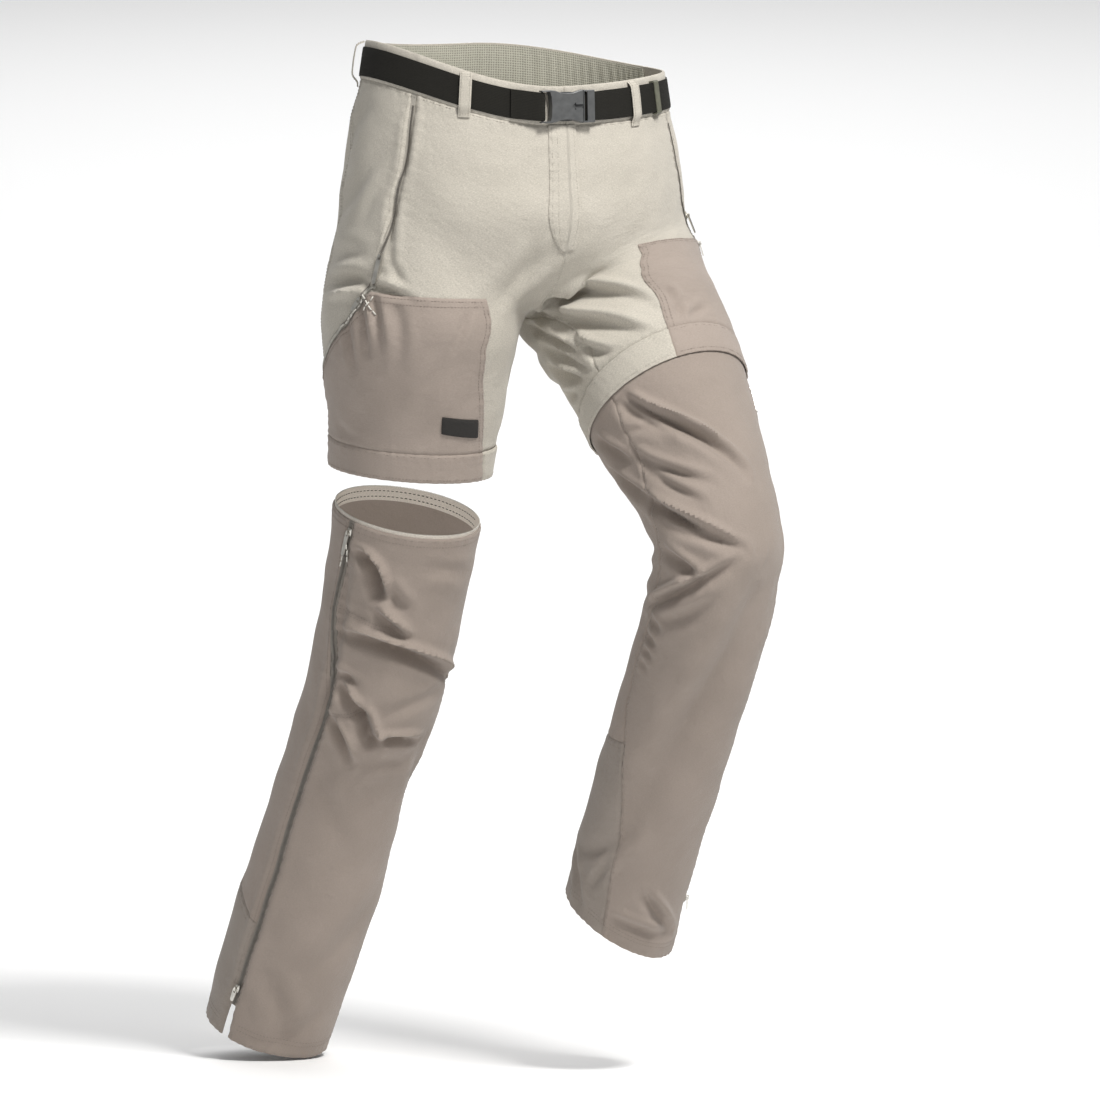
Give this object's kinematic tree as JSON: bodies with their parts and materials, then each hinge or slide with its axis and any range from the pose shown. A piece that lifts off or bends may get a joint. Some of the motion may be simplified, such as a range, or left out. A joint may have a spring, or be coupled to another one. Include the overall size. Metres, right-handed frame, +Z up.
{
  "type": "convertible zip-off trousers",
  "caption": "Convertible walking trousers in worn shape with a webbing belt, thigh pockets and one lower leg unzipped and hanging clear below its short leg.",
  "frame": {"origin": "centre of the waist opening at the waistband's top, where the wearer holds the trousers", "axes": "+Z up, the wearer faces -Y, the wearer's left is +X"},
  "size_m": [0.4315, 0.6053, 1.0759],
  "materials": {
    "stone_cloth": "matt heathered weave",
    "taupe_cloth": "matt weave",
    "calf_cloth": "matt weave",
    "mesh_cloth": "open mesh",
    "zip_tape": "matt tape with moulded teeth",
    "webbing": "ribbed webbing",
    "buckle_plastic": "satin",
    "keeper_plastic": "satin",
    "label_cloth": "smooth, bare",
    "slider_metal": "satin"
  },
  "bodies": {
    "cloth": {"back_left": "stone_cloth", "back_right": "stone_cloth", "belt": "webbing", "belt_keeper": "keeper_plastic", "belt_loop_back_right": "stone_cloth", "belt_loop_front_left": "stone_cloth", "belt_loop_front_right": "stone_cloth", "belt_loop_side_left": "stone_cloth", "belt_loop_side_right": "stone_cloth", "buckle_prongs": "buckle_plastic", "buckle_socket": "buckle_plastic", "calf_left": "calf_cloth", "calf_loose": "calf_cloth", "fly": "stone_cloth", "front_left": "stone_cloth", "front_right": "stone_cloth", "hand_zip_tape_left": "zip_tape", "hand_zip_tape_right": "zip_tape", "hem_band_left": "stone_cloth", "hem_band_pocket_left": "taupe_cloth", "hem_band_pocket_right": "taupe_cloth", "hem_band_right": "stone_cloth", "label": "label_cloth", "leg_back_left": "taupe_cloth", "leg_back_loose": "taupe_cloth", "leg_front_left": "taupe_cloth", "leg_front_loose": "taupe_cloth", "leg_zip_lower_loose": "zip_tape", "leg_zip_upper_left": "zip_tape", "leg_zip_upper_right": "zip_tape", "side_left": "stone_cloth", "side_right": "stone_cloth", "side_zip_tape_left": "zip_tape", "side_zip_tape_loose": "zip_tape", "slider_hand_left": "slider_metal", "slider_hand_right": "slider_metal", "slider_hem_left": "slider_metal", "slider_hem_right": "slider_metal", "slider_side_left": "slider_metal", "slider_side_right": "slider_metal", "slider_thigh_left": "slider_metal", "slider_thigh_right": "slider_metal", "thigh_pocket_left": "taupe_cloth", "thigh_pocket_right": "taupe_cloth", "thigh_zip_tape_left": "zip_tape", "thigh_zip_tape_right": "zip_tape", "waist_facing": "mesh_cloth", "waistband_back": "stone_cloth", "waistband_front_left": "stone_cloth", "waistband_front_right": "stone_cloth"},
    "pull_hand_right": {"pull_hand_right": "slider_metal"},
    "pull_hand_left": {"pull_hand_left": "slider_metal"},
    "pull_thigh_right": {"pull_thigh_right": "slider_metal"},
    "pull_thigh_left": {"pull_thigh_left": "slider_metal"},
    "pull_side_right": {"pull_side_right": "slider_metal"},
    "pull_side_left": {"pull_side_left": "slider_metal"},
    "pull_hem_right": {"pull_hem_right": "slider_metal"},
    "pull_hem_left": {"pull_hem_left": "slider_metal"}
  },
  "joints": [
    {"name": "pull_hand_right_swing", "type": "hinge", "parent": "cloth", "child": "pull_hand_right", "pos_m": [-0.17752, -0.05276, -0.19039], "axis": [-0.5319, 0.8267, 0.1833], "range_deg": [0, 150]},
    {"name": "pull_hand_left_swing", "type": "hinge", "parent": "cloth", "child": "pull_hand_left", "pos_m": [0.17299, -0.05114, -0.16321], "axis": [-0.4159, -0.803, -0.4268], "range_deg": [0, 150]},
    {"name": "pull_thigh_right_swing", "type": "hinge", "parent": "cloth", "child": "pull_thigh_right", "pos_m": [-0.19301, -0.03629, -0.23599], "axis": [-0.3194, 0.7219, 0.6138], "range_deg": [0, 150]},
    {"name": "pull_thigh_left_swing", "type": "hinge", "parent": "cloth", "child": "pull_thigh_left", "pos_m": [0.18828, -0.04652, -0.19302], "axis": [-0.1716, -0.8954, -0.4109], "range_deg": [0, 150]},
    {"name": "pull_side_right_swing", "type": "hinge", "parent": "cloth", "child": "pull_side_right", "pos_m": [-0.17764, 0.02662, -0.48382], "axis": [-0.2701, 0.9039, 0.3316], "range_deg": [0, 150]},
    {"name": "pull_side_left_swing", "type": "hinge", "parent": "cloth", "child": "pull_side_left", "pos_m": [0.20167, -0.14337, -0.33714], "axis": [-0.2948, -0.8132, 0.5019], "range_deg": [0, 150]},
    {"name": "pull_hem_right_swing", "type": "hinge", "parent": "cloth", "child": "pull_hem_right", "pos_m": [-0.21781, 0.21751, -0.97511], "axis": [-0.3787, 0.8367, 0.3955], "range_deg": [0, 150]},
    {"name": "pull_hem_left_swing", "type": "hinge", "parent": "cloth", "child": "pull_hem_left", "pos_m": [0.16913, -0.05821, -0.87], "axis": [-0.3472, -0.862, -0.3693], "range_deg": [0, 150]}
  ]
}
